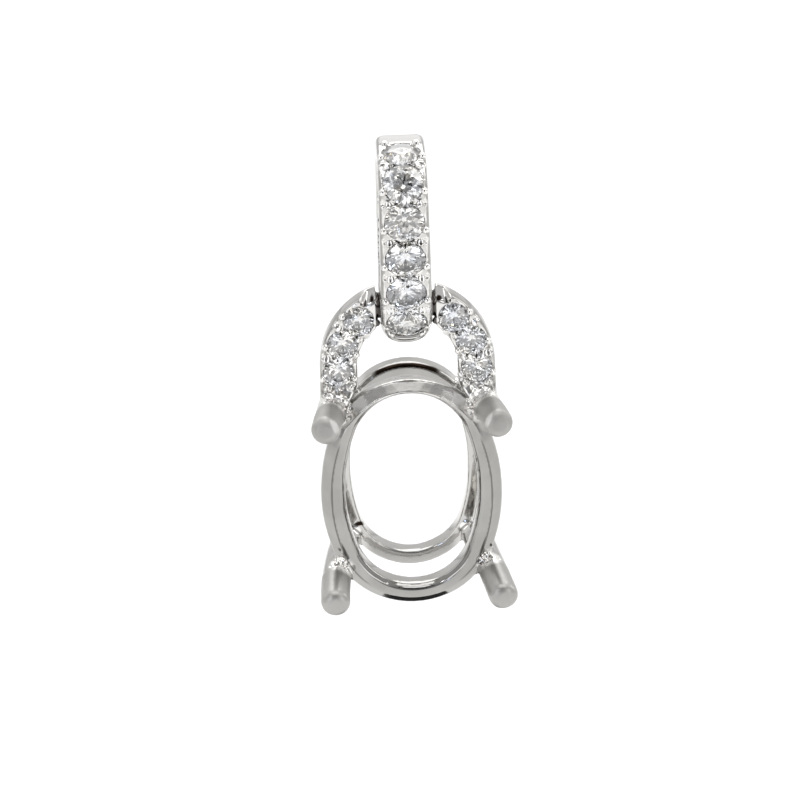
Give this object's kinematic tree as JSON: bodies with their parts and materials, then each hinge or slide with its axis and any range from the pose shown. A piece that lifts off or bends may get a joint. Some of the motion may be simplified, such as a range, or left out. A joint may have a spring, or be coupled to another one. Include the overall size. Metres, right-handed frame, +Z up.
{
  "type": "pendant setting",
  "caption": "Oval four-prong pendant setting without its centre stone, on a horseshoe link with small brilliants, hung from a stone-set hoop bail.",
  "frame": {"origin": "where a chain lies inside the bail: the middle of the bail's inner top", "axes": "+X across the pendant to the viewer's right, -Y out of its front, +Z up; the pendant hangs down -Z"},
  "size_m": [0.0078, 0.0059, 0.0193],
  "materials": {
    "white_gold": "polished",
    "diamond": "faceted"
  },
  "bodies": {
    "bail_body": {"bail": "white_gold", "bail_stone_1": "diamond", "bail_stone_2": "diamond", "bail_stone_3": "diamond", "bail_stone_4": "diamond", "bail_stone_5": "diamond", "bail_stone_6": "diamond"},
    "setting_body": {"setting": "white_gold", "link_stone_left_1": "diamond", "link_stone_left_2": "diamond", "link_stone_left_3": "diamond", "link_stone_right_1": "diamond", "link_stone_right_2": "diamond", "link_stone_right_3": "diamond"}
  },
  "joints": [
    {"name": "setting_swing", "type": "hinge", "parent": "bail_body", "child": "setting_body", "pos_m": [0, 0, -0.00591], "axis": [1, 0, 0], "range_deg": [-110, 110]}
  ]
}
